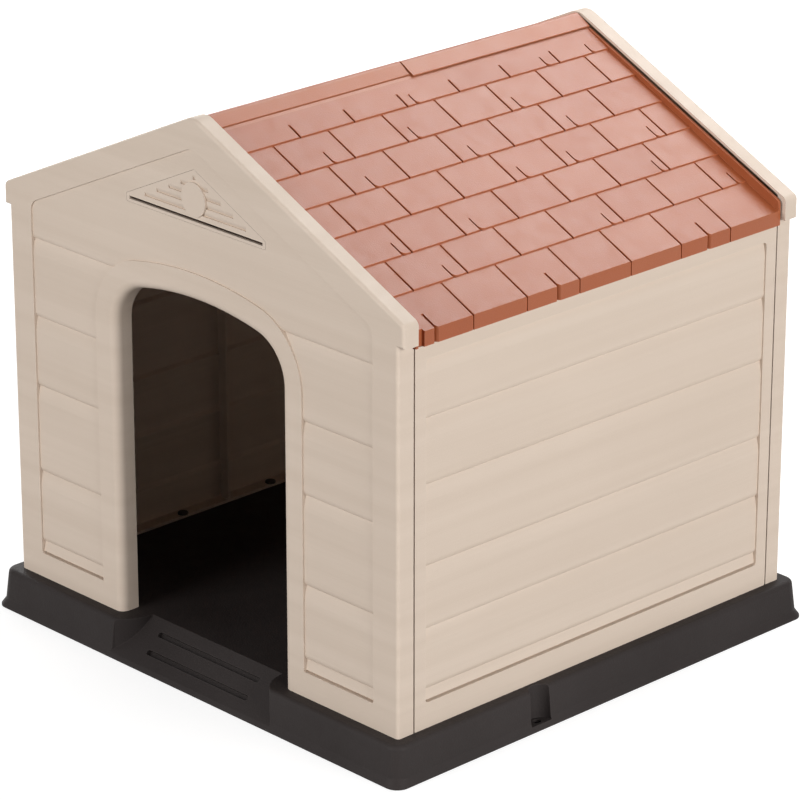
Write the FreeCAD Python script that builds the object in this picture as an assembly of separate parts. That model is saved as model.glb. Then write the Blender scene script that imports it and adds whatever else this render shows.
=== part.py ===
import FreeCAD
import Part
import math
import os

# Flat-pack plastic pet house: a dark base tray, two gable walls, two side walls and a shingled roof
# of two interlocking panels that lifts off for cleaning.
# Millimetres. Origin on the ground under the middle, +Z up, the doorway faces -Y, +X is the right side.

# Base tray
base_width = 840.0
base_depth = 814.0
base_height = 58.0
base_skin = 4.0
base_corner_radius = 20.0
base_edge_round = 7.0
skirt_flare = 9.0
lip_flare = 5.0
lip_height = 12.0
lip_edge = 2.5
floor_rib_thickness = 3.0
floor_rib_clearance = 6.0
floor_rib_shares = (-0.3, -0.1, 0.1, 0.3)

# Doorway ramp pressed into the front of the tray
ramp_sill_width = 270.0
ramp_mouth_width = 336.0
ramp_set_back = 28.0
ramp_toe_height = 5.0
ramp_cheek_bulge = 8.0
ramp_cheek_round = 18.0
ramp_groove_length = 210.0
ramp_groove_width = 8.0
ramp_groove_depth = 6.0
ramp_groove_shares = (0.287, 0.667)

# Ground peg recess in each side of the skirt
peg_recess_radius = 19.0
peg_recess_offset = 5.0
peg_recess_share = 0.339
peg_floor_height = 8.0
peg_hole_radius = 6.0
peg_hole_inset = 4.0

# Walls
wall_side_ledge = 19.0
wall_end_ledge = 20.0
side_wall_height = 544.0
wall_skin = 4.0
return_depth = 28.0
side_return_depth = 26.0
flange_width = 22.0
wall_joint_gap = 2.4
wall_edge_round = 5.0
stiffener_thickness = 4.0
stiffener_depth = 24.0

# Lapped boards pressed into the walls
field_recess = 2.4
lap_depth = 3.4
lap_foot_height = 8.0
cove_height = 22.0
cove_mid_share = 0.33
strip_foot_share = 0.1
foot_groove_height = 2.6
foot_groove_depth = 7.4
field_bottom_margin = 37.0
field_side_margin = 47.0
field_top_margin = 43.0
field_corner_radius = 20.0
field_foot_radius = 4.0
side_field_corner_radius = 5.0
side_field_top_margin = 20.0
side_field_end_margin = 20.0
gable_lap_shares = (0.945, 0.732, 0.54, 0.3, 0.101)
side_lap_shares = (0.809, 0.638, 0.426, 0.261, 0.101)

# Gable rim
rim_overhang = 11.0
rim_depth = 26.0
rim_end_height = 32.0
rim_end_round = 9.0
apex_round = 30.0
ridge_rise = 7.5
eave_rise = 18.6
roof_shelf_width = 12.0
roof_shelf_inset = 42.0

# Doorway
door_width = 338.0
door_spring_height = 435.0
door_rise = 76.0
door_corner_share = 0.85
door_surround = 40.0
jamb_skin = 9.0
jamb_depth = 30.0
jamb_round = 13.0

# Gable vent
vent_width = 280.0
vent_height = 78.0
vent_end_height = 12.0
vent_below_field = 30.5
vent_corner_radius = 3.0
vent_clearance = 0.4
vent_flange = 8.0
vent_flange_thickness = 3.0
vent_border = 7.0
vent_sill = 4.5
vent_slot_height = 4.5
vent_slot_end = 6.0
louvres = 5
louvre_pitch = 11.7
louvre_height = 6.0
louvre_depth = 2.4
vent_disc_radius = 24.0
vent_disc_proud = 2.4
vent_disc_share = 0.46

# Roof
roof_pitch = 26.57
eave_overhang = 4.0
eave_drop = 21.0
eave_flange = 6.0
seat_clearance = 0.4
roof_end_gap = 2.4
roof_skin = 4.0
tile_step = 2.2
tile_joint = 2.8
tile_joint_depth = 1.6
tile_edge_round = 0.8
first_row_run = 68.0
last_row_run = 61.0
first_joint_share = 0.45
tiles_per_row = 7
slit_length_share = 0.42
slit_corner_radius = 8.0
eave_slit_width = 4.0
eave_notch_depth = 5.0
end_notch_width = 15.0
slit_shares = (
    (0.454, 0.822, 0.954),
    (0.16, 0.385, 0.671),
    (0.197, 0.472, 0.75),
    (0.531, 0.671, 0.903),
    (0.118, 0.325, 0.836),
    (0.177, 0.611, 0.975),
    (0.044, 0.369, 0.793),
)
curb_thickness = 4.0
curb_below_rim = 7.0
curb_round = 9.0
ridge_gap = 0.5
cap_peak = 5.0
cap_apex_round = 10.0
cap_foot = 21.0
cap_foot_step = 0.8
lip_half_width = 27.0
lip_thickness = 1.6
lip_clearance = 1.6
lap_gap = 2.2
crease_width = 2.0
crease_depth = 1.4
roof_rib_thickness = 3.0
roof_rib_height = 12.0
roof_rib_shares = (-0.5, 0.0, 0.5)
locating_rib_gap = 1.5
locating_rib_drop = 12.0
curb_setback = 2.0

# Snap rivets
rivet_head_radius = 8.0
rivet_head_height = 3.0
rivet_radius = 4.0
rivet_clearance = 0.2
rivet_barb = 1.0
rivet_tip = 5.0
corner_rivet_shares = (0.18, 0.5, 0.82)
gable_rivet_shares = (0.2, 0.62)
side_rivet_shares = (-0.75, -0.25, 0.25, 0.75)

# How far a cut runs past the faces it opens, and how far joined shapes run into each other
overrun = 20.0
embed = 1.0

# Derived places
ledge_half_x = base_width / 2 - skirt_flare
ledge_half_y = base_depth / 2 - skirt_flare
wall_half_x = ledge_half_x - wall_side_ledge
wall_half_y = ledge_half_y - wall_end_ledge
side_top = base_height + side_wall_height
roof_slope = math.tan(math.radians(roof_pitch))
roof_run = wall_half_x + eave_overhang
eave_bottom = side_top + seat_clearance
eave_top = eave_bottom + eave_drop
ridge_height = eave_top + roof_slope * roof_run
rim_half_x = wall_half_x + rim_overhang
rim_end_top = eave_top + eave_rise
rim_bottom = rim_end_top - rim_end_height
apex_height = ridge_height + ridge_rise
rim_slope = (apex_height - rim_end_top) / rim_half_x
roof_half_y = wall_half_y - rim_depth - roof_end_gap
sheet_drop = tile_step + tile_joint_depth
door_top = base_height + door_spring_height + door_rise
board_back = field_recess + lap_depth + wall_skin
vent_top = apex_height - field_top_margin - vent_below_field


def vec(x, y, z):
    return FreeCAD.Vector(x, y, z)


def outline_face(points, radii):
    """A face in the XZ plane from (x, z) corners, each rounded by its radius."""
    corners = [vec(x, 0, z) for x, z in points]
    count = len(corners)
    entries = []
    for i, corner in enumerate(corners):
        back = (corners[i - 1] - corner).normalize()
        ahead = (corners[(i + 1) % count] - corner).normalize()
        half = back.getAngle(ahead) / 2
        reach = radii[i] / math.tan(half)
        middle = (back + ahead).normalize()
        inset = radii[i] / math.sin(half) - radii[i]
        entries.append((corner + back * reach, corner + middle * inset, corner + ahead * reach))
    edges = []
    for i, (start, middle, end) in enumerate(entries):
        if radii[i] > 0:
            edges.append(Part.Arc(start, middle, end).toShape())
        following = entries[(i + 1) % count][0]
        edges.append(Part.LineSegment(end, following).toShape())
    return Part.Face(Part.Wire(edges))


def sharp_face(points):
    return Part.Face(Part.makePolygon([vec(x, 0, z) for x, z in list(points) + [points[0]]]))


def slab(face, y_from, y_to):
    """The face, pushed through from one depth to the other along Y."""
    solid = face.extrude(vec(0, y_to - y_from, 0))
    solid.translate(vec(0, y_from, 0))
    return solid


def block(low, high):
    size = [b - a for a, b in zip(low, high)]
    return Part.makeBox(size[0], size[1], size[2], vec(*low))


def mirrored_x(points):
    """A symmetric outline from its right half, listed from the bottom to the top."""
    return list(points) + [(-x, z) for x, z in reversed(points) if x > 0]


def fused(shapes):
    return shapes[0].multiFuse(shapes[1:]).removeSplitter()


def roof_height(x):
    """Height of the lower edges of the roof tiles."""
    return ridge_height - roof_slope * abs(x)


def rim_height(x):
    return apex_height - rim_slope * abs(x)


def sheet_top(x):
    return roof_height(x) - sheet_drop


def sheet_under(x):
    return sheet_top(x) - roof_skin


def rivet(grip):
    """A snap rivet along -Z: its head sits on the origin plane and its barbed tip is below the grip."""
    barb_radius = rivet_radius + rivet_barb
    profile = [
        (0, rivet_head_height),
        (rivet_head_radius - rivet_barb, rivet_head_height),
        (rivet_head_radius, rivet_head_height - rivet_barb),
        (rivet_head_radius, 0),
        (rivet_radius, 0),
        (rivet_radius, -grip),
        (barb_radius, -grip),
        (rivet_radius - rivet_barb, -grip - rivet_tip),
        (0, -grip - rivet_tip),
    ]
    return sharp_face(profile).revolve(vec(0, 0, 0), vec(0, 0, 1), 360)


def rounded_rectangle(half_x, half_y, radius, z):
    face = outline_face(
        [(half_x, -half_y), (half_x, half_y), (-half_x, half_y), (-half_x, -half_y)], [radius] * 4
    )
    wire = face.OuterWire
    wire.rotate(vec(0, 0, 0), vec(1, 0, 0), -90)
    wire.translate(vec(0, 0, z))
    return wire


def base_block(inset, bottom):
    """The tray's outside pulled in by the inset: a flared skirt with a lip along its foot."""
    sections = [
        (bottom, skirt_flare),
        (lip_edge, skirt_flare),
        (lip_height, skirt_flare - lip_flare),
        (base_height - inset, 0),
    ]
    wires = [
        rounded_rectangle(
            ledge_half_x + flare - inset, ledge_half_y + flare - inset, base_corner_radius - inset, z
        )
        for z, flare in sections
    ]
    return Part.makeLoft(wires, True, True)


def ramp_plan(grow):
    """Right half of the ramp, seen from above: a hollow cheek that rounds over into the skirt."""
    sill_y = -wall_half_y + ramp_set_back + grow
    past_y = -base_depth / 2 - overrun
    sill = vec(ramp_sill_width / 2 + grow, sill_y, 0)
    mouth = vec(ramp_mouth_width / 2 + grow, -base_depth / 2, 0)
    radius = ramp_cheek_round - grow
    along = (mouth - sill).normalize()
    outward = vec(-along.y, along.x, 0)
    reach = radius * math.tan(along.getAngle(vec(1, 0, 0)) / 2)
    start = mouth - along * reach
    end = mouth + vec(reach, 0, 0)
    round_middle = start + (outward - (outward + vec(0, 1, 0)).normalize()) * radius
    cheek_middle = (sill + start) / 2 - vec(ramp_cheek_bulge, 0, 0)
    corners = [end, vec(end.x, past_y, 0), vec(0, past_y, 0), vec(0, sill_y, 0), sill]
    edges = [Part.Arc(sill, cheek_middle, start).toShape(), Part.Arc(start, round_middle, end).toShape()]
    edges += [Part.LineSegment(a, b).toShape() for a, b in zip(corners, corners[1:])]
    return Part.Face(Part.Wire(edges))


def ramp_cut(grow):
    """What the doorway ramp takes out of the tray: a sloped floor between two hollow cheeks."""
    half = ramp_plan(grow).extrude(vec(0, 0, base_height + overrun))
    column = fused([half, half.mirror(vec(0, 0, 0), vec(1, 0, 0))])
    sill_y = -wall_half_y + ramp_set_back + grow
    past_y = -base_depth / 2 - overrun
    steep = (base_height - ramp_toe_height) / (sill_y - grow + base_depth / 2)
    drop = grow * (math.sqrt(1 + steep**2) - steep)
    side = [
        (sill_y, base_height - drop),
        (past_y, base_height - drop - steep * (sill_y - past_y)),
        (past_y, base_height + overrun),
        (sill_y, base_height + overrun),
    ]
    wedge_face = Part.Face(Part.makePolygon([vec(-ramp_mouth_width, y, z) for y, z in side + side[:1]]))
    return column.common(wedge_face.extrude(vec(2 * ramp_mouth_width, 0, 0)))


def ramp_grooves(grow):
    """Two long anti-slip grooves across the ramp, every side moved outwards alike."""
    sill_y = -wall_half_y + ramp_set_back
    run = sill_y + base_depth / 2
    fall = base_height - ramp_toe_height
    half = ramp_groove_length / 2 + grow
    radius = ramp_groove_width / 2 + grow
    corners = [(half, -radius), (half, radius), (-half, radius), (-half, -radius)]
    shape = outline_face(corners, [radius - embed] * 4)
    tools = []
    for share in ramp_groove_shares:
        tool = slab(shape, -overrun / 2, ramp_groove_depth + grow)
        tool.rotate(vec(0, 0, 0), vec(1, 0, 0), -math.degrees(math.atan2(run, fall)))
        tool.translate(vec(0, sill_y - share * run, base_height - share * fall))
        tools.append(tool)
    return tools


def peg_places():
    y = base_depth * (peg_recess_share - 1 / 2)
    x = ledge_half_x + peg_recess_offset
    return [(-x, y), (x, y)]


def peg_recesses(grow):
    height = base_height + overrun
    floor = peg_floor_height - grow
    return [
        Part.makeCylinder(peg_recess_radius + grow, height - floor, vec(x, y, floor)) for x, y in peg_places()
    ]


def base_rivet_places():
    """Points where the walls' foot flanges are riveted to the tray: front, rear, left and right."""
    flange_middle = return_depth - rivet_head_radius - embed
    gable_y = wall_half_y - flange_middle
    side_x = wall_half_x - flange_middle
    room = rivet_head_radius + embed
    near_x = door_width / 2 + jamb_skin + room
    far_x = wall_half_x - wall_skin - flange_width - room
    reach_y = wall_half_y - return_depth
    right_half = [near_x + share * (far_x - near_x) for share in gable_rivet_shares]
    gable = [-x for x in right_half] + right_half
    side = [share * reach_y for share in side_rivet_shares]
    return {
        "front": [(x, -gable_y) for x in gable],
        "rear": [(x, gable_y) for x in gable],
        "left": [(-side_x, y) for y in side],
        "right": [(side_x, y) for y in side],
    }


def rivet_hole(x, y, low, high):
    return Part.makeCylinder(rivet_radius + rivet_clearance, high - low, vec(x, y, low))


def rounded_ledge(tray):
    """The tray with the outer edge of its ledge rounded over."""
    edges = [edge for edge in tray.Edges if edge.BoundBox.ZMin > base_height - embed]
    return tray.makeFillet(base_edge_round, edges)


def base_tray():
    hollow = base_block(base_skin, -overrun).cut(ramp_cut(base_skin))
    hollow = hollow.cut(fused_tools(peg_recesses(base_skin) + ramp_grooves(base_skin)))
    ribs = []
    rib_top = base_height - base_skin / 2
    half = floor_rib_thickness / 2
    for share in floor_rib_shares:
        x = share * base_width
        y = share * base_depth
        ribs.append(block((x - half, -base_depth, floor_rib_clearance), (x + half, base_depth, rib_top)))
        ribs.append(block((-base_width, y - half, floor_rib_clearance), (base_width, y + half, rib_top)))
    shell = rounded_ledge(base_block(0, 0)).cut(ramp_cut(0))
    tools = peg_recesses(0) + ramp_grooves(0)
    for x, y in peg_places():
        hole_x = math.copysign(abs(x) - peg_recess_offset - peg_hole_inset, x)
        tools.append(Part.makeCylinder(peg_hole_radius, base_height, vec(hole_x, y, 0)))
    low = base_height - base_skin - rivet_tip
    for places in base_rivet_places().values():
        tools += [rivet_hole(x, y, low, base_height + embed) for x, y in places]
    rib_grid = fused(ribs)
    hollow = hollow.cut(rib_grid)
    return shell.cut(hollow).cut(fused_tools(tools))


def fused_tools(tools):
    return tools[0].multiFuse(tools[1:]) if len(tools) > 1 else tools[0]


def arch_face(grow, bottom):
    """The doorway's outline grown outwards: straight jambs under a flattened three-centred arch."""
    half = door_width / 2
    corner = door_corner_share * door_rise
    spring = base_height + door_spring_height
    crown = ((half - corner) ** 2 + door_rise**2 - corner**2) / (2 * (door_rise - corner))
    crown_z = spring + door_rise - crown
    swing = math.atan2(spring - crown_z, half - corner)

    def on_corner(angle, side):
        reach = corner + grow
        return vec(side * (half - corner + reach * math.cos(angle)), 0, spring + reach * math.sin(angle))

    foot_right = vec(half + grow, 0, bottom)
    foot_left = vec(-half - grow, 0, bottom)
    top = vec(0, 0, crown_z + crown + grow)
    edges = [
        Part.LineSegment(foot_left, foot_right).toShape(),
        Part.LineSegment(foot_right, on_corner(0, 1)).toShape(),
        Part.Arc(on_corner(0, 1), on_corner(swing / 2, 1), on_corner(swing, 1)).toShape(),
        Part.Arc(on_corner(swing, 1), top, on_corner(swing, -1)).toShape(),
        Part.Arc(on_corner(swing, -1), on_corner(swing / 2, -1), on_corner(0, -1)).toShape(),
        Part.LineSegment(on_corner(0, -1), foot_left).toShape(),
    ]
    return Part.Face(Part.Wire(edges))


def gable_outline(inset):
    """The gable wall's outline: straight sides, an overhanging rim and a rounded apex."""
    lowered = inset * math.sqrt(1 + rim_slope**2)
    half = wall_half_x - inset
    if inset > 0:
        points = [(half, base_height + inset), (half, rim_height(half) - lowered), (0, apex_height - lowered)]
        radii = [0, 0, apex_round - inset]
    else:
        points = [
            (half, base_height),
            (half, rim_bottom),
            (rim_half_x, rim_bottom),
            (rim_half_x, rim_end_top),
            (0, apex_height),
        ]
        radii = [0, 0, 0, rim_end_round, apex_round]
    return outline_face(mirrored_x(points), radii + radii[-2::-1])


def gable_field(grow, with_door):
    """The recessed field of boards on a gable wall, less the flat band around the doorway."""
    half = wall_half_x - field_side_margin + grow
    bottom = base_height + field_bottom_margin - grow
    lowered = field_top_margin - grow * math.sqrt(1 + rim_slope**2)
    points = [(half, bottom), (half, rim_height(half) - lowered), (0, apex_height - lowered)]
    radii = [field_foot_radius + grow, field_corner_radius + grow, apex_round + grow]
    field = outline_face(mirrored_x(points), radii + radii[-2::-1])
    if with_door:
        field = field.cut(arch_face(door_surround - grow, base_height - overrun))
    return field


def board_sheet(lap_heights, top, half_length):
    """A skin of lapped boards, seen in section: each board's foot turns in to the cove of the next.
    The strip under the lowest board leans out towards its foot."""
    cove_mid = field_recess + cove_mid_share * lap_depth
    foot_radius = (lap_depth**2 + lap_foot_height**2) / (2 * lap_depth)
    foot_turn = math.asin(lap_foot_height / foot_radius) / 2
    foot_in = foot_radius * (1 - math.cos(foot_turn))
    foot_down = foot_radius * math.sin(foot_turn)
    edges = []
    inside = [(field_recess + wall_skin, top)]
    last = vec(-half_length, field_recess, top)
    for lap in lap_heights:
        foot_top = lap + lap_foot_height
        face_end = vec(-half_length, field_recess, foot_top)
        rounded = vec(-half_length, field_recess + foot_in, foot_top - foot_down)
        cove_top = vec(-half_length, field_recess + lap_depth, lap)
        edges.append(Part.LineSegment(last, face_end).toShape())
        edges.append(Part.Arc(face_end, rounded, cove_top).toShape())
        inside.append((field_recess + wall_skin, foot_top))
        inside.append((board_back, lap + wall_skin / 2))
        if lap == lap_heights[-1]:
            foot_depth = field_recess + strip_foot_share * lap_depth
            last = vec(-half_length, foot_depth, lap - cove_height)
            edges.append(Part.LineSegment(cove_top, last).toShape())
            inside.append((board_back, lap - cove_height))
        else:
            middle = vec(-half_length, cove_mid, lap - cove_height / 2)
            last = vec(-half_length, field_recess, lap - cove_height)
            edges.append(Part.Arc(cove_top, middle, last).toShape())
            inside.append((board_back, lap))
            inside.append((cove_mid + wall_skin, lap - cove_height / 2))
            inside.append((field_recess + wall_skin, lap - cove_height))
    back = [last] + [vec(-half_length, y, z) for y, z in reversed(inside)]
    back.append(vec(-half_length, field_recess, top))
    edges += [Part.LineSegment(a, b).toShape() for a, b in zip(back, back[1:])]
    return Part.Face(Part.Wire(edges)).extrude(vec(2 * half_length, 0, 0))


def pressed_field(face, grown_face, embedded_face, lap_heights, top, half_length):
    """The step around a field and the boards inside it."""
    step = slab(grown_face.cut(face), wall_skin / 2, board_back)
    sheet = board_sheet(lap_heights, top, half_length)
    return [step, sheet.common(slab(embedded_face, -overrun, board_back + overrun))]


def foot_groove(face, half_length):
    """A narrow groove along the foot of a field, as deep as the boards are pressed in."""
    low = base_height + field_bottom_margin
    band = block((-half_length, -overrun, low), (half_length, foot_groove_depth, low + foot_groove_height))
    return slab(face, -overrun, foot_groove_depth).common(band)


def vent_slant():
    return math.atan2(vent_height - vent_end_height, vent_width / 2)


def vent_outline(grow):
    """The vent's gable shape, with short upright ends, every side moved outwards alike."""
    slant = vent_slant()
    half = vent_width / 2 + grow
    bottom = vent_top - vent_height - grow
    top = vent_top + grow / math.cos(slant)
    shoulder = top - half * math.tan(slant)
    points = [(half, bottom), (half, shoulder), (0, top)]
    return outline_face(mirrored_x(points), [vent_corner_radius] * 5)


def roof_shelf():
    """A shelf along each slope inside a gable wall, on which the ends of the roof panels lie."""
    half = wall_half_x - roof_shelf_inset
    upper = [(half, sheet_under(half) - seat_clearance), (0, sheet_under(0) - seat_clearance)]
    upper = upper + [(-half, upper[0][1])]
    lower = [(x, z - wall_skin) for x, z in reversed(upper)]
    return slab(sharp_face(upper + lower), wall_skin / 2, rim_depth + roof_shelf_width)


def gable_wall(with_door):
    """A gable wall, outside face on Y = 0 and its back towards +Y."""
    depth = max(rim_depth, return_depth)
    wide = rim_half_x + overrun
    past = depth + overrun
    below_rim = block((-wide, return_depth, base_height - overrun), (wide, past, rim_bottom))
    behind_rim = block((-wide, rim_depth, side_top), (wide, past, apex_height + overrun))
    shell = slab(gable_outline(0), 0, depth).cut(fused([below_rim, behind_rim]))
    boxes = [(edge, edge.BoundBox) for edge in shell.Edges]
    front_edges = [edge for edge, box in boxes if box.YMax < embed and box.ZMax > base_height + embed]
    shell = shell.makeFillet(wall_edge_round, front_edges)
    shell = shell.cut(slab(gable_outline(wall_skin), wall_skin, past))
    face = gable_field(0, with_door)
    shell = shell.cut(slab(face, -overrun, wall_skin + overrun))
    laps = [base_height + share * side_wall_height for share in gable_lap_shares]
    half = wall_half_x - field_side_margin + wall_skin
    pieces = [shell] + pressed_field(
        face,
        gable_field(wall_skin, with_door),
        gable_field(wall_skin / 2, with_door),
        laps,
        apex_height,
        half,
    )
    inner = wall_half_x - wall_skin + embed
    for side in (-1, 1):
        ends = sorted((side * inner, side * (inner - flange_width)))
        low = (ends[0], return_depth - wall_skin, base_height)
        pieces.append(block(low, (ends[1], return_depth, side_top)))
    pieces.append(roof_shelf())
    tools = [slab(vent_outline(0), -overrun, board_back + overrun), foot_groove(face, half)]
    if with_door:
        pieces.append(slab(arch_face(jamb_skin, base_height), wall_skin / 2, jamb_depth))
        tools.append(slab(arch_face(0, base_height - overrun), -overrun, jamb_depth + overrun))
    low = base_height - embed
    high = base_height + wall_skin + embed
    tools += [rivet_hole(x, y + wall_half_y, low, high) for x, y in base_rivet_places()["front"]]
    for x, z in corner_rivet_heights():
        hole = rivet_hole(0, 0, -overrun, overrun)
        hole.rotate(vec(0, 0, 0), vec(1, 0, 0), 90)
        hole.translate(vec(x, return_depth - wall_skin / 2, z))
        tools.append(hole)
    wall = fused(pieces).cut(fused_tools(tools))
    if with_door:
        wall = wall.makeFillet(jamb_round, doorway_edges(wall))
    return wall


def doorway_edges(wall):
    half = door_width / 2 + embed
    found = []
    for edge in wall.Edges:
        box = edge.BoundBox
        if box.YMax < embed and box.XMax < half and box.XMin > -half and box.ZMax < door_top + embed:
            found.append(edge)
    return found


def corner_rivet_heights():
    """Places of the corner rivets on a gable wall, as (x, z)."""
    x = wall_half_x - wall_skin - flange_width / 2
    heights = [base_height + share * side_wall_height for share in corner_rivet_shares]
    return [(side * x, z) for side in (-1, 1) for z in heights]


def side_wall():
    """A side wall, outside face on Y = 0, its length along X and its back towards +Y."""
    half = wall_half_y - return_depth - wall_joint_gap
    shell = block((-half, 0, base_height), (half, side_return_depth, side_top))
    inner = half - wall_skin
    hollow_high = (inner, side_return_depth + overrun, side_top - wall_skin)
    shell = shell.cut(block((-inner, wall_skin, base_height + wall_skin), hollow_high))

    def field(grow):
        end = half - side_field_end_margin + grow
        bottom = base_height + field_bottom_margin - grow
        top = side_top - side_field_top_margin + grow
        radius = side_field_corner_radius + grow
        return outline_face([(end, bottom), (end, top), (-end, top), (-end, bottom)], [radius] * 4)

    shell = shell.cut(slab(field(0), -overrun, wall_skin + embed))
    laps = [side_top - side_field_top_margin]
    laps += [base_height + share * side_wall_height for share in side_lap_shares]
    pieces = [shell] + pressed_field(
        field(0),
        field(wall_skin),
        field(wall_skin / 2),
        laps,
        side_top,
        half,
    )
    stiffener_front = field_recess + (lap_depth + wall_skin) / 2
    pieces.append(
        block(
            (-stiffener_thickness / 2, stiffener_front, base_height + wall_skin / 2),
            (stiffener_thickness / 2, stiffener_depth, side_top - wall_skin / 2),
        )
    )
    low = base_height - embed
    high = base_height + wall_skin + embed
    tools = [rivet_hole(y, wall_half_x - x, low, high) for x, y in base_rivet_places()["right"]]
    tools.append(foot_groove(field(0), half))
    depth = wall_skin + flange_width / 2
    for share in corner_rivet_shares:
        hole = rivet_hole(0, 0, -half - overrun, half + overrun)
        hole.rotate(vec(0, 0, 0), vec(0, 1, 0), 90)
        hole.translate(vec(0, depth, base_height + share * side_wall_height))
        middle = block((-inner + overrun, -overrun, 0), (inner - overrun, wall_half_x, apex_height))
        tools.append(hole.cut(middle))
    return fused(pieces).cut(fused_tools(tools))


def vent_grille():
    """A louvred vent insert with a plain disc, seated from inside: local frame of a gable wall."""
    front = field_recess
    back = field_recess + wall_skin
    plug = slab(vent_outline(-vent_clearance), front, back)
    seat = slab(vent_outline(vent_flange), back, back + vent_flange_thickness)
    seat = seat.cut(slab(vent_outline(-vent_border), 0, board_back + overrun))
    bottom = vent_top - vent_height
    slot_low = bottom + vent_sill
    slot_half = vent_width / 2 - vent_slot_end
    tools = [
        block((-slot_half, front - embed, slot_low), (slot_half, board_back, slot_low + vent_slot_height))
    ]
    slant = vent_slant()
    for i in range(louvres):
        low = slot_low + (i + 1) * louvre_pitch
        high = low + louvre_height
        half = (vent_top - high) / math.tan(slant) - vent_border / math.sin(slant)
        section = [(front, high), (front + louvre_depth, low), (front, low)]
        ring = Part.makePolygon([vec(-half, y, z) for y, z in section + section[:1]])
        tools.append(Part.Face(ring).extrude(vec(2 * half, 0, 0)))
    grille = fused([plug, seat]).cut(fused_tools(tools))
    disc = Part.makeCylinder(
        vent_disc_radius,
        wall_skin + vent_disc_proud,
        vec(0, front - vent_disc_proud, bottom + vent_disc_share * vent_height),
        vec(0, 1, 0),
    )
    return grille.fuse(disc).removeSplitter()


def row_edges():
    """Distances of the rows' lower edges from the ridge."""
    rows = len(slit_shares)
    pitch = (roof_run - first_row_run - last_row_run) / (rows - 2)
    return [first_row_run + i * pitch for i in range(rows - 1)] + [roof_run]


def tile_joints(row):
    """Where a row is split into tiles along Y; every other row is shifted by half a tile."""
    length = 2 * (roof_half_y - curb_thickness)
    pitch = length / tiles_per_row
    shift = (row % 2) / 2
    inner = [(i - shift) * pitch - length / 2 for i in range(1, tiles_per_row + row % 2)]
    return [-length / 2] + inner + [length / 2]


def tile(row, low_y, high_y):
    """One shingle: a wedge that rises towards its lower edge, its top edges rounded."""
    edges = row_edges()
    upper = edges[row - 1] if row else ridge_gap
    lower = edges[row]
    upper_z = roof_height(upper) - (tile_step if row else 0)
    profile = [
        (upper, upper_z),
        (lower, roof_height(lower)),
        (lower, sheet_top(lower) - embed),
        (upper, sheet_top(upper) - embed),
    ]
    if lower == roof_run:
        back = lower - tile_joint_depth - embed
        profile[2:3] = [(lower, eave_bottom), (back, eave_bottom), (back, sheet_top(back) - embed)]
    shingle = slab(sharp_face(profile), low_y, high_y)
    top = [face for face in shingle.Faces if face.normalAt(0, 0).z > 1 / 2]
    rounded = [edge for edge in top[0].Edges if edge.BoundBox.XMax > lower - embed]
    return shingle.makeFillet(tile_edge_round, rounded)


def slits(row):
    """Cracks up from the row's lower edge, each with a rounded corner beside it."""
    edges = row_edges()
    upper = edges[row - 1] if row else lip_half_width
    end = edges[row]
    length = 2 * (roof_half_y - curb_thickness)
    start = end - slit_length_share * (end - upper)
    low = sheet_top(end)
    high = roof_height(upper) + embed
    width = tile_joint
    if end == roof_run:
        low = eave_bottom - embed
        end = end + embed
        width = eave_slit_width
    tools = []
    for share in slit_shares[row]:
        side = share * length - length / 2 + width / 2
        tools.append(block((start, side - width, low), (end, side, high)))
        corner = block((end - slit_corner_radius, side, low), (end, side + slit_corner_radius, high))
        centre = vec(end - slit_corner_radius, side + slit_corner_radius, low)
        tools.append(corner.cut(Part.makeCylinder(slit_corner_radius, high - low, centre)))
    return tools


def eave_notches():
    """The eave row's cracks run deeper at the eave face, and a gap is left beside the front curb."""
    notch_x = roof_run - eave_notch_depth
    low = eave_bottom - embed
    high = roof_height(notch_x) + embed
    face = block((notch_x, -roof_half_y, low), (roof_run + overrun, roof_half_y, high))
    gap_low = (notch_x, curb_thickness - roof_half_y, low)
    gap_high = (roof_run + overrun, end_notch_width - roof_half_y, high)
    cracks = fused_tools(slits(len(slit_shares) - 1))
    return fused_tools([cracks.common(face), block(gap_low, gap_high)])


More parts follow.
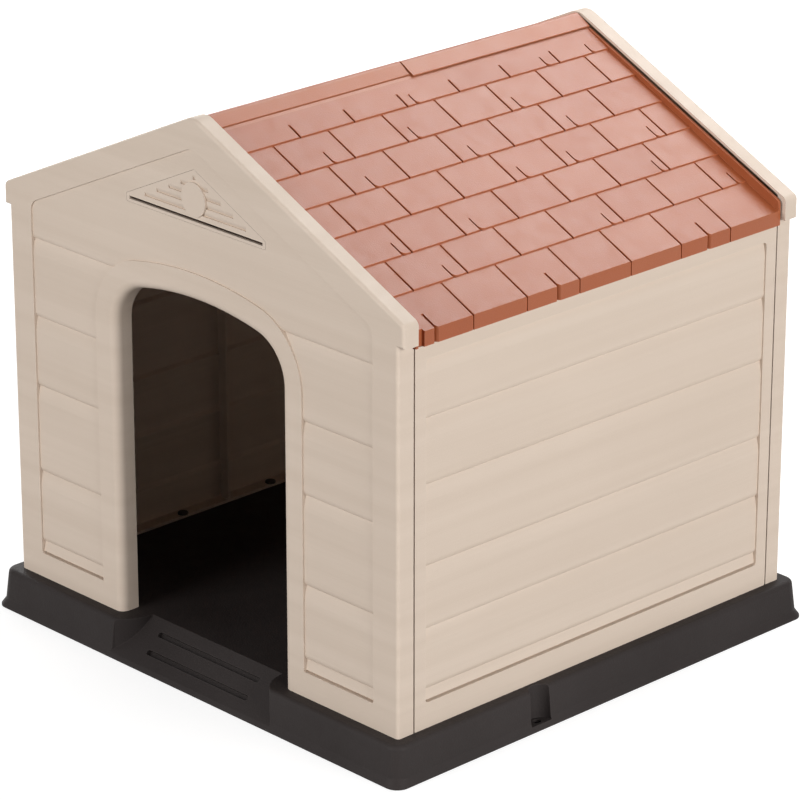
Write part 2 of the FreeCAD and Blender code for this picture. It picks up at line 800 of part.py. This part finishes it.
def right_roof_panel():
    """The panel over the right side. Its front half carries the ridge cap, which laps the other panel."""
    face_back = roof_run - tile_joint_depth
    flange_back = face_back - eave_flange
    under = [(flange_back, sheet_under(flange_back)), (ridge_gap, sheet_under(ridge_gap))]
    profile = [
        (ridge_gap, sheet_top(ridge_gap)),
        (face_back, sheet_top(face_back)),
        (face_back, eave_bottom),
        (flange_back, eave_bottom),
    ]
    pieces = [slab(sharp_face(profile + under), -roof_half_y, roof_half_y)]
    apron_end = lip_half_width + first_joint_share * (first_row_run - lip_half_width)
    apron = [(ridge_gap, roof_height(ridge_gap)), (apron_end, roof_height(apron_end))]
    apron += [(x, sheet_top(x) - embed) for x, z in reversed(apron)]
    pieces.append(slab(sharp_face(apron), -roof_half_y, roof_half_y))
    for row in range(len(slit_shares)):
        joints = tile_joints(row)
        cracks = fused_tools(slits(row))
        for low, high in zip(joints, joints[1:]):
            low_y = low - embed if low == joints[0] else low + tile_joint / 2
            high_y = high + embed if high == joints[-1] else high - tile_joint / 2
            pieces.append(tile(row, low_y, high_y).cut(cracks))
    curb_start = lip_half_width + curb_setback
    curb = [
        (roof_run, eave_bottom),
        (roof_run, rim_height(roof_run) - curb_below_rim),
        (curb_start, rim_height(curb_start) - curb_below_rim),
        (curb_start, sheet_under(curb_start)),
        (flange_back, sheet_under(flange_back)),
        (flange_back, eave_bottom),
    ]
    curb_face = outline_face(curb, [0, curb_round, 0, 0, 0, 0])
    pieces.append(slab(curb_face, -roof_half_y, curb_thickness - roof_half_y))
    pieces.append(slab(curb_face, roof_half_y - curb_thickness, roof_half_y))
    pieces.append(ridge_cap())
    half = roof_rib_thickness / 2
    rib_end = roof_run - eave_overhang - side_return_depth - locating_rib_gap
    rib_start = lip_half_width
    rib = [(rib_start, sheet_under(rib_start) + embed), (rib_end, sheet_under(rib_end) + embed)]
    rib += [(x, z - embed - roof_rib_height) for x, z in reversed(rib)]
    for share in roof_rib_shares:
        y = share * roof_half_y
        pieces.append(slab(sharp_face(rib), y - half, y + half))
    locator_end = roof_half_y - roof_shelf_width - curb_thickness
    locator_low = (rib_end - roof_rib_thickness, -locator_end, side_top - locating_rib_drop)
    pieces.append(block(locator_low, (rib_end, locator_end, sheet_under(rib_end) + embed)))
    return fused(pieces).cut(fused_tools([eave_notches(), crease_groove()]))


def ridge_cap():
    """Half the length of the ridge cap, with a lip that hangs over the other panel's edge."""
    lip_under = roof_height(lip_half_width) + lip_clearance
    points = [
        (cap_foot, roof_height(cap_foot) + cap_foot_step),
        (cap_foot, sheet_top(cap_foot) - embed),
        (ridge_gap, sheet_top(ridge_gap) - embed),
        (ridge_gap, ridge_height + lip_clearance),
        (0, ridge_height + lip_clearance),
        (-lip_half_width, lip_under),
        (-lip_half_width, lip_under + lip_thickness),
        (0, ridge_height + cap_peak),
    ]
    face = outline_face(points, [0] * (len(points) - 1) + [cap_apex_round])
    return slab(face, -roof_half_y, -lap_gap / 2)


def crease_groove():
    """A narrow groove along the foot of the panel's own half of the cap."""
    end = cap_foot + crease_width
    points = [(cap_foot, roof_height(cap_foot) + embed), (end, roof_height(end) + embed)]
    points += [(x, z - embed - crease_depth) for x, z in reversed(points)]
    return slab(sharp_face(points), curb_thickness - roof_half_y, -lap_gap / 2)


def turned(shape, degrees):
    copy = shape.copy()
    copy.rotate(vec(0, 0, 0), vec(0, 0, 1), degrees)
    return copy


def on_front(shape):
    copy = shape.copy()
    copy.translate(vec(0, -wall_half_y, 0))
    return copy


def on_right(shape):
    copy = turned(shape, 90)
    copy.translate(vec(wall_half_x, 0, 0))
    return copy


def base_rivets(places):
    solids = []
    for x, y in places:
        solid = rivet(wall_skin + base_skin)
        solid.translate(vec(x, y, base_height + wall_skin))
        solids.append(solid)
    return Part.makeCompound(solids)


def corner_rivets(side, facing):
    """Rivets through a side wall's end flange into the flange behind a gable wall."""
    solids = []
    flange_face = wall_half_y - return_depth - wall_joint_gap - wall_skin
    for x, z in corner_rivet_heights():
        if x * side > 0:
            solid = rivet(2 * wall_skin + wall_joint_gap)
            solid.rotate(vec(0, 0, 0), vec(1, 0, 0), facing * 90)
            solid.translate(vec(x, facing * flange_face, z))
            solids.append(solid)
    return Part.makeCompound(solids)


def build():
    front = on_front(gable_wall(True))
    rear = turned(on_front(gable_wall(False)), 180)
    right = on_right(side_wall())
    vent = on_front(vent_grille())
    roof = right_roof_panel()
    nodes = {
        "base_tray": base_tray(),
        "front_wall": front,
        "rear_wall": rear,
        "right_wall": right,
        "left_wall": turned(right, 180),
        "front_vent": vent,
        "rear_vent": turned(vent, 180),
        "right_roof_panel": roof,
        "left_roof_panel": turned(roof, 180),
    }
    for name, places in base_rivet_places().items():
        nodes[name + "_base_rivets"] = base_rivets(places)
    for side_name, side in (("left", -1), ("right", 1)):
        for end_name, facing in (("front", -1), ("rear", 1)):
            nodes[end_name + "_" + side_name + "_corner_rivets"] = corner_rivets(side, facing)
    return nodes


os.makedirs("parts", exist_ok=True)
for name, shape in build().items():
    shape.exportStep("parts/" + name + ".step")
    print(name, len(shape.Solids), shape.isValid(), round(shape.Volume))
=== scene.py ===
import bpy
import math
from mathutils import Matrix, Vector


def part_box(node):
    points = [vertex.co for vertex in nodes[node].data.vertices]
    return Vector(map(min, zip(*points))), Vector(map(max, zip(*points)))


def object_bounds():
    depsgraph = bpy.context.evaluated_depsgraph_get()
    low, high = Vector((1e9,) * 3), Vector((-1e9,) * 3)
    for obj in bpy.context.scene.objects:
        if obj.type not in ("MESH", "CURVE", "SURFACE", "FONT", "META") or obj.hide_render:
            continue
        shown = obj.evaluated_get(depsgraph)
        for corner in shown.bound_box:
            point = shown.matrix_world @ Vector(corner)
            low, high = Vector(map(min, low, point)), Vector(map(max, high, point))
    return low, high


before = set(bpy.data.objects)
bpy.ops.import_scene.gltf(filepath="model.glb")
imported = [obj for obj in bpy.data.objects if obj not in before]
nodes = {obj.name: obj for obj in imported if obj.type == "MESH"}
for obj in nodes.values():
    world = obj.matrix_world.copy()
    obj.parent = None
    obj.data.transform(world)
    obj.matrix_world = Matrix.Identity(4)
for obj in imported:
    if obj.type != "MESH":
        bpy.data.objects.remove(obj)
cad_low, cad_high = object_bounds()
bpy.ops.object.select_all(action="DESELECT")

# Base tray: one dark injection moulding, hollow underneath, with a flared skirt, a ramp at the
# doorway and a peg recess in each side. The walls stand on its ledge. Matte brown-black plastic
# with a spark-eroded grain.


def linear(red, green, blue):
    """A colour as it is read off a screen, turned into the light values that shaders use."""
    parts = []
    for part in (red, green, blue):
        share = part / 255
        parts.append(share / 12.92 if share <= 0.04045 else ((share + 0.055) / 1.055) ** 2.4)
    return (*parts, 1.0)


def add_node(tree, kind, x, y, **settings):
    node = tree.nodes.new(kind)
    node.location = (x, y)
    for name, value in settings.items():
        setattr(node, name, value)
    return node


def feed(tree, source, socket):
    """Joins a socket to the output of an earlier node, or gives it a plain value."""
    if isinstance(source, bpy.types.NodeSocket):
        tree.links.new(source, socket)
    else:
        socket.default_value = source


def math_node(tree, x, y, operation, first, second=0.0):
    node = add_node(tree, "ShaderNodeMath", x, y, operation=operation)
    feed(tree, first, node.inputs[0])
    feed(tree, second, node.inputs[1])
    return node.outputs[0]


# A Mix node's colour sockets come after its numbers and vectors.
low_colour_socket = 6
high_colour_socket = 7
mixed_colour_socket = 2


def mix_colour(tree, x, y, share, low, high):
    mix = add_node(tree, "ShaderNodeMix", x, y, data_type="RGBA")
    feed(tree, share, mix.inputs["Factor"])
    feed(tree, low, mix.inputs[low_colour_socket])
    feed(tree, high, mix.inputs[high_colour_socket])
    return mix.outputs[mixed_colour_socket]


def map_range(tree, x, y, value, low, high, out_low, out_high):
    node = add_node(tree, "ShaderNodeMapRange", x, y)
    feed(tree, value, node.inputs["Value"])
    node.inputs["From Min"].default_value = low
    node.inputs["From Max"].default_value = high
    node.inputs["To Min"].default_value = out_low
    node.inputs["To Max"].default_value = out_high
    return node.outputs["Result"]


def noise(tree, x, y, vector, scale, detail, roughness=0.5):
    node = add_node(tree, "ShaderNodeTexNoise", x, y)
    feed(tree, vector, node.inputs["Vector"])
    feed(tree, scale, node.inputs["Scale"])
    node.inputs["Detail"].default_value = detail
    node.inputs["Roughness"].default_value = roughness
    return node.outputs["Fac"]


def bump_node(tree, x, y, height, strength, depth):
    node = add_node(tree, "ShaderNodeBump", x, y)
    feed(tree, height, node.inputs["Height"])
    node.inputs["Strength"].default_value = strength
    node.inputs["Distance"].default_value = depth
    return node


def new_group(name, numbers, values):
    """A node group with a place, the named numbers and the named values that it puts out."""
    group = bpy.data.node_groups.new(name, "ShaderNodeTree")
    group.interface.new_socket("Vector", in_out="INPUT", socket_type="NodeSocketVector")
    for number, start in numbers:
        socket = group.interface.new_socket(number, in_out="INPUT", socket_type="NodeSocketFloat")
        socket.default_value = start
    for value in values:
        group.interface.new_socket(value, in_out="OUTPUT", socket_type="NodeSocketFloat")
    entry = add_node(group, "NodeGroupInput", -1400, 0)
    leave = add_node(group, "NodeGroupOutput", 600, 0)
    return group, entry.outputs, leave.inputs


# A span gives the shares of a noise between which a mark goes from none to full. For a worn edge
# it gives how far the flat and the rounded direction of a face agree, from first wear to most.
cloud_scale = 3.0
cloud_span = (0.3, 0.7)
rub_scale = 38.0
rub_span = (0.35, 0.65)
worn_edge_width = 0.0025
worn_edge_span = (0.99, 0.8)
wear_patch_span = (0.3, 0.65)
wear_between_patches = 0.3
edge_wear = 0.5
grain_strength = 0.4
roughness_spread = 0.05


def moulded_finish_group():
    """Finish of a moulded plastic: fine grain, slow cloudy shade, rubbed patches and edges."""
    numbers = [("Grain Scale", 900.0)]
    group, entry, leave = new_group("moulded_finish", numbers, ["Grain", "Cloud", "Rub", "Edge"])
    place = entry["Vector"]
    grain = noise(group, -200, 300, place, entry["Grain Scale"], detail=2.0)
    feed(group, grain, leave["Grain"])
    feed(group, noise(group, -200, 50, place, cloud_scale, detail=3.0), leave["Cloud"])
    rub = noise(group, -200, -200, place, rub_scale, detail=6.0, roughness=0.7)
    feed(group, rub, leave["Rub"])
    rounded = add_node(group, "ShaderNodeBevel", -800, -500, samples=4)
    rounded.inputs["Radius"].default_value = worn_edge_width
    flat = add_node(group, "ShaderNodeNewGeometry", -800, -700)
    agree = add_node(group, "ShaderNodeVectorMath", -600, -600, operation="DOT_PRODUCT")
    feed(group, rounded.outputs["Normal"], agree.inputs[0])
    feed(group, flat.outputs["Normal"], agree.inputs[1])
    edge = map_range(group, -400, -600, agree.outputs["Value"], *worn_edge_span, 0.0, 1.0)
    patchy = map_range(group, 0, -300, rub, *wear_patch_span, wear_between_patches, 1.0)
    feed(group, math_node(group, 200, -500, "MULTIPLY", edge, patchy), leave["Edge"])
    return group


moulded_finish = moulded_finish_group()


def plastic(name, shade, pale, rubbed, roughness, specular, grain_scale, grain_depth):
    """A moulded plastic between two close shades, rubbed paler along its edges. With it come the
    sockets that a section may build on."""
    material = bpy.data.materials.new(name)
    material.use_nodes = True
    tree = material.node_tree
    shader = tree.nodes["Principled BSDF"]
    shader.inputs["Specular IOR Level"].default_value = specular
    place = add_node(tree, "ShaderNodeTexCoord", -1500, 0).outputs["Object"]
    finish = add_node(tree, "ShaderNodeGroup", -1250, 0, node_tree=moulded_finish)
    feed(tree, place, finish.inputs["Vector"])
    finish.inputs["Grain Scale"].default_value = grain_scale
    cloud = map_range(tree, -1000, 250, finish.outputs["Cloud"], *cloud_span, 0.0, 1.0)
    colour = mix_colour(tree, -800, 250, cloud, shade, pale)
    edge = math_node(tree, -1000, 50, "MULTIPLY", finish.outputs["Edge"], edge_wear)
    worn = mix_colour(tree, -250, 250, edge, colour, rubbed)
    feed(tree, worn, shader.inputs["Base Color"])
    smooth, rough = roughness - roughness_spread, roughness + roughness_spread
    gloss = map_range(tree, -800, -50, finish.outputs["Rub"], *rub_span, smooth, rough)
    feed(tree, gloss, shader.inputs["Roughness"])
    bump = bump_node(tree, -250, -300, finish.outputs["Grain"], grain_strength, grain_depth)
    feed(tree, bump.outputs["Normal"], shader.inputs["Normal"])
    sockets = {
        "place": place,
        "colour": colour,
        "colour_under_wear": worn.node.inputs[low_colour_socket],
        "normal_under_grain": bump.inputs["Normal"],
    }
    return material, sockets


def dress(node_name, material):
    """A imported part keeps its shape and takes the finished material."""
    for slot in nodes[node_name].material_slots:
        slot.material = material


base_plastic = plastic(
    "base_plastic",
    shade=linear(40, 35, 34),
    pale=linear(54, 49, 48),
    rubbed=linear(78, 72, 70),
    roughness=0.55,
    specular=0.1,
    grain_scale=420.0,
    grain_depth=0.0012,
)[0]
dress("base_tray", base_plastic)

# Walls: two gable walls and two side walls, each one cream moulding with lapped boards pressed
# into its face and returns round its edges. A faint wood grain, cut into the mould, runs along
# the boards, with soft streaks of colour.

board_grain_along = 5.0
board_grain_across = 260.0
board_grain_strength = 0.3
board_grain_depth = 0.0008
streak_scale = 0.16
streak_span = (0.35, 0.65)
streak_most = 0.45
streak_shade = linear(203, 185, 168)
wall_plastic, wall_sockets = plastic(
    "wall_plastic",
    shade=linear(211, 194, 178),
    pale=linear(216, 199, 183),
    rubbed=linear(224, 210, 196),
    roughness=0.52,
    specular=0.3,
    grain_scale=800.0,
    grain_depth=0.0003,
)
tree = wall_plastic.node_tree
axes = add_node(tree, "ShaderNodeSeparateXYZ", -1250, -400)
feed(tree, wall_sockets["place"], axes.inputs["Vector"])
along = math_node(tree, -1050, -350, "ADD", axes.outputs["X"], axes.outputs["Y"])
along = math_node(tree, -900, -350, "MULTIPLY", along, board_grain_along)
across = math_node(tree, -900, -500, "MULTIPLY", axes.outputs["Z"], board_grain_across)
fibres = add_node(tree, "ShaderNodeCombineXYZ", -750, -400)
feed(tree, along, fibres.inputs["X"])
feed(tree, across, fibres.inputs["Y"])
fibres = fibres.outputs["Vector"]
streak = noise(tree, -600, -650, fibres, streak_scale, detail=3.0)
streak_share = map_range(tree, -400, -700, streak, *streak_span, 0.0, streak_most)
streaked = mix_colour(tree, -500, 400, streak_share, wall_sockets["colour"], streak_shade)
feed(tree, streaked, wall_sockets["colour_under_wear"])
board_grain = noise(tree, -600, -400, fibres, scale=1.0, detail=4.0, roughness=0.6)
board_bump = bump_node(tree, -400, -500, board_grain, board_grain_strength, board_grain_depth)
feed(tree, board_bump.outputs["Normal"], wall_sockets["normal_under_grain"])
for wall in ("front_wall", "rear_wall", "left_wall", "right_wall"):
    dress(wall, wall_plastic)

# Vents: a louvred insert in each gable, pushed in from inside until its flange meets the wall,
# with a plain disc in its middle. Moulded in the walls' cream plastic, without the wood grain.

vent_plastic = plastic(
    "vent_plastic",
    shade=linear(209, 192, 176),
    pale=linear(214, 197, 181),
    rubbed=linear(224, 210, 196),
    roughness=0.5,
    specular=0.3,
    grain_scale=900.0,
    grain_depth=0.0002,
)[0]
for vent in ("front_vent", "rear_vent"):
    dress(vent, vent_plastic)

# Rivets: small snap rivets, pressed in from inside, hold the walls' flanges to the tray and to
# each other. Each is moulded in satin black plastic, smoother than the tray, with a low head and
# a barbed tip.

rivet_plastic = plastic(
    "rivet_plastic",
    shade=linear(58, 55, 52),
    pale=linear(66, 63, 59),
    rubbed=linear(94, 90, 85),
    roughness=0.42,
    specular=0.3,
    grain_scale=900.0,
    grain_depth=0.0002,
)[0]
for name in nodes:
    if name.endswith("_rivets"):
        dress(name, rivet_plastic)

# Roof panels: two like mouldings in terracotta plastic that hook over each other at the ridge and
# lie loose on the walls. Shingles, joints and cracks are moulded in, and no two shingles are quite
# one shade. The ridge cap is painted paler than the shingles, a painted highlight.

roof_low, roof_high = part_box("right_roof_panel")
curb_thickness = 0.004
tiles_per_row = 7
row_count = 7
row_shift = 0.5
first_row_run = 0.068
last_row_run = 0.061
smooth_run = 0.0455
cap_run = 0.0275
tile_length = (roof_high[1] - roof_low[1] - 2 * curb_thickness) / tiles_per_row
row_run = (roof_high[0] - first_row_run - last_row_run) / (row_count - 2)
# Pale shade that the shingles fade towards at random. On the ridge cap it also serves as a painted
# highlight.
fade_and_highlight_shade = linear(194, 132, 100)
faded = 0.11
faded_spread = 0.07
# Share of the pale shade on the ridge cap: a painted highlight, paler than the shingles, for the
# sheen its upward face catches.
cap_painted_highlight = 0.3


def shingle_tone_group():
    """How far a shingle has faded: one share all over it, not its neighbours'. The shares run
    together up the smooth strip above the first row. The ridge cap is painted paler than any
    shingle, a painted highlight for the sheen on its upward face."""
    group, entry, leave = new_group("shingle_tone", [], ["Tone"])
    axes = add_node(group, "ShaderNodeSeparateXYZ", -1200, 0)
    feed(group, entry["Vector"], axes.inputs["Vector"])
    reach = math_node(group, -1000, 200, "ABSOLUTE", axes.outputs["X"])
    row = math_node(group, -850, 200, "SUBTRACT", reach, first_row_run - row_run)
    row = math_node(group, -700, 200, "DIVIDE", row, row_run)
    row = math_node(group, -550, 200, "FLOOR", row)
    row = math_node(group, -450, 300, "MAXIMUM", row, 0.0)
    row = math_node(group, -450, 200, "MINIMUM", row, row_count - 1.0)
    shift = math_node(group, -400, 100, "MODULO", row, 2.0)
    shift = math_node(group, -250, 100, "MULTIPLY", shift, row_shift)
    column = math_node(group, -700, -100, "DIVIDE", axes.outputs["Y"], tile_length)
    column = math_node(group, -550, -100, "ADD", column, tiles_per_row / 2)
    column = math_node(group, -250, -100, "ADD", column, shift)
    column = math_node(group, -100, -100, "FLOOR", column)
    side = math_node(group, -700, -300, "SIGN", axes.outputs["X"])
    cell = add_node(group, "ShaderNodeCombineXYZ", 100, 0)
    feed(group, row, cell.inputs["X"])
    feed(group, column, cell.inputs["Y"])
    feed(group, side, cell.inputs["Z"])
    chance = add_node(group, "ShaderNodeTexWhiteNoise", 300, 0, noise_dimensions="3D")
    feed(group, cell.outputs["Vector"], chance.inputs["Vector"])
    chance = chance.outputs["Value"]
    apart = map_range(group, 450, 0, chance, 0.0, 1.0, -faded_spread, faded_spread)
    beyond = map_range(group, -700, 400, reach, cap_run, smooth_run, 0.0, 1.0)
    apart = math_node(group, 500, 200, "MULTIPLY", apart, beyond)
    # The ridge cap gets more of the pale shade: a painted highlight, not fading.
    on_cap = math_node(group, -700, 600, "LESS_THAN", reach, cap_run)
    cap_highlight_share = math_node(group, 500, 400, "MULTIPLY", on_cap, cap_painted_highlight - faded)
    tone = math_node(group, 600, 300, "ADD", apart, cap_highlight_share)
    feed(group, math_node(group, 600, 200, "ADD", tone, faded), leave["Tone"])
    return group


roof_plastic, roof_sockets = plastic(
    "roof_plastic",
    shade=linear(149, 73, 36),
    pale=linear(159, 82, 44),
    rubbed=linear(188, 120, 90),
    roughness=0.35,
    specular=0.3,
    grain_scale=700.0,
    grain_depth=0.0005,
)
tree = roof_plastic.node_tree
tone = add_node(tree, "ShaderNodeGroup", -1250, 500, node_tree=shingle_tone_group())
feed(tree, roof_sockets["place"], tone.inputs["Vector"])
tone = tone.outputs["Tone"]
shingle = mix_colour(tree, -500, 400, tone, roof_sockets["colour"], fade_and_highlight_shade)
feed(tree, shingle, roof_sockets["colour_under_wear"])
for panel in ("left_roof_panel", "right_roof_panel"):
    dress(panel, roof_plastic)

# Floor, light and camera: a pale floor that fades into white and stays dark under the tray, four
# large soft boxes, and a long lens from the front right, above the eaves.


def seen_rays(tree):
    """1 where the studio is seen, straight or in a glossy or clear surface, and 0 elsewhere."""
    path = add_node(tree, "ShaderNodeLightPath", -1000, 200).outputs
    glossy, clear = path["Is Glossy Ray"], path["Is Transmission Ray"]
    mirrored = math_node(tree, -800, 200, "MAXIMUM", glossy, clear)
    return math_node(tree, -600, 200, "MAXIMUM", path["Is Camera Ray"], mirrored)


def diffuse(tree, x, y, level):
    node = add_node(tree, "ShaderNodeBsdfDiffuse", x, y)
    node.inputs["Color"].default_value = (level, level, level, 1.0)
    return node.outputs[0]


floor_half = 12.0
floor_drop = 0.0005
floor_shade = 0.45
floor_bounce = 0.3
shadow_reach = 1.1
fade_reach = 2.6
glow_near = 0.75
glow_far = 0.95
foot_margin = 0.003
corner_margin = 0.045
bpy.ops.mesh.primitive_plane_add(size=2 * floor_half, location=(0, 0, -floor_drop))
floor = bpy.context.object
floor.name = "studio_floor"
floor_paint = bpy.data.materials.new("studio_floor")
floor_paint.use_nodes = True
tree = floor_paint.node_tree
tree.nodes.remove(tree.nodes["Principled BSDF"])
place = add_node(tree, "ShaderNodeTexCoord", -1000, -300).outputs["Object"]
length = add_node(tree, "ShaderNodeVectorMath", -800, -300, operation="LENGTH")
feed(tree, place, length.inputs[0])
length = length.outputs["Value"]
glow_strength = map_range(
    tree, -600, -300, length, shadow_reach, fade_reach, glow_near, glow_far
)
axes = add_node(tree, "ShaderNodeSeparateXYZ", -1000, -600)
feed(tree, place, axes.inputs["Vector"])
beside = math_node(tree, -800, -600, "ABSOLUTE", axes.outputs["X"])
beside = math_node(tree, -600, -600, "GREATER_THAN", beside, cad_high[0] - foot_margin)
before = math_node(tree, -800, -750, "ABSOLUTE", axes.outputs["Y"])
before = math_node(tree, -600, -750, "GREATER_THAN", before, cad_high[1] - corner_margin)
in_the_open = math_node(tree, -400, -600, "MAXIMUM", beside, before)
glow = add_node(tree, "ShaderNodeEmission", -400, -300)
glow_strength = math_node(tree, -300, -450, "MULTIPLY", glow_strength, in_the_open)
feed(tree, glow_strength, glow.inputs["Strength"])
bright = add_node(tree, "ShaderNodeAddShader", -200, -200)
feed(tree, diffuse(tree, -400, -150, floor_shade), bright.inputs[0])
feed(tree, glow.outputs[0], bright.inputs[1])
either = add_node(tree, "ShaderNodeMixShader", 0, 0)
feed(tree, seen_rays(tree), either.inputs[0])
feed(tree, diffuse(tree, -400, 0, floor_bounce), either.inputs[1])
feed(tree, bright.outputs[0], either.inputs[2])
feed(tree, either.outputs[0], tree.nodes["Material Output"].inputs["Surface"])
floor.data.materials.append(floor_paint)

room_light = 0.08
white = 1.0
world = bpy.data.worlds.new("studio")
world.use_nodes = True
bpy.context.scene.world = world
tree = world.node_tree
room = tree.nodes["Background"]
room.inputs["Color"].default_value = (1, 1, 1, 1)
room_strength = map_range(tree, -400, 200, seen_rays(tree), 0.0, 1.0, room_light, white)
feed(tree, room_strength, room.inputs["Strength"])


def away_from_house(azimuth, elevation):
    """The way from the house to a lamp or lens; azimuth 0 is straight ahead of the doorway."""
    turn, lift = math.radians(azimuth), math.radians(elevation)
    level = math.cos(lift)
    return Vector((math.sin(turn) * level, -math.cos(turn) * level, math.sin(lift)))


house_middle = Vector((0, 0, 0.42))


def soft_box(name, azimuth, elevation, distance, side, power):
    """A square soft box that faces the middle of the house."""
    away = away_from_house(azimuth, elevation)
    bpy.ops.object.light_add(type="AREA", location=house_middle + away * distance)
    lamp = bpy.context.object
    lamp.name = name
    lamp.rotation_mode = "QUATERNION"
    lamp.rotation_quaternion = away.to_track_quat("Z", "Y")
    lamp.data.energy = power
    lamp.data.size = side


soft_box("key_light", azimuth=-8, elevation=16, distance=12.0, side=6.5, power=985)
soft_box("side_light", azimuth=89, elevation=12, distance=5.0, side=3.5, power=228)
soft_box("left_light", azimuth=-110, elevation=14, distance=5.0, side=3.5, power=125)
soft_box("roof_light", azimuth=190, elevation=49, distance=2.7, side=1.6, power=51)

# The lens's direction, distance and length, and the point it looks at, as the photograph has them.
camera_away = away_from_house(azimuth=46.2, elevation=21.5)
camera_distance = 5.8882
camera_target = Vector((0.0031, -0.0014, 0.3268))
bpy.ops.object.camera_add(location=camera_target + camera_away * camera_distance)
camera = bpy.context.object
camera.name = "camera"
camera.rotation_mode = "QUATERNION"
camera.rotation_quaternion = camera_away.to_track_quat("Z", "Y")
camera.data.sensor_width = 36.0
camera.data.lens = 187.14
bpy.context.scene.camera = camera
bpy.context.scene.view_settings.view_transform = "Standard"
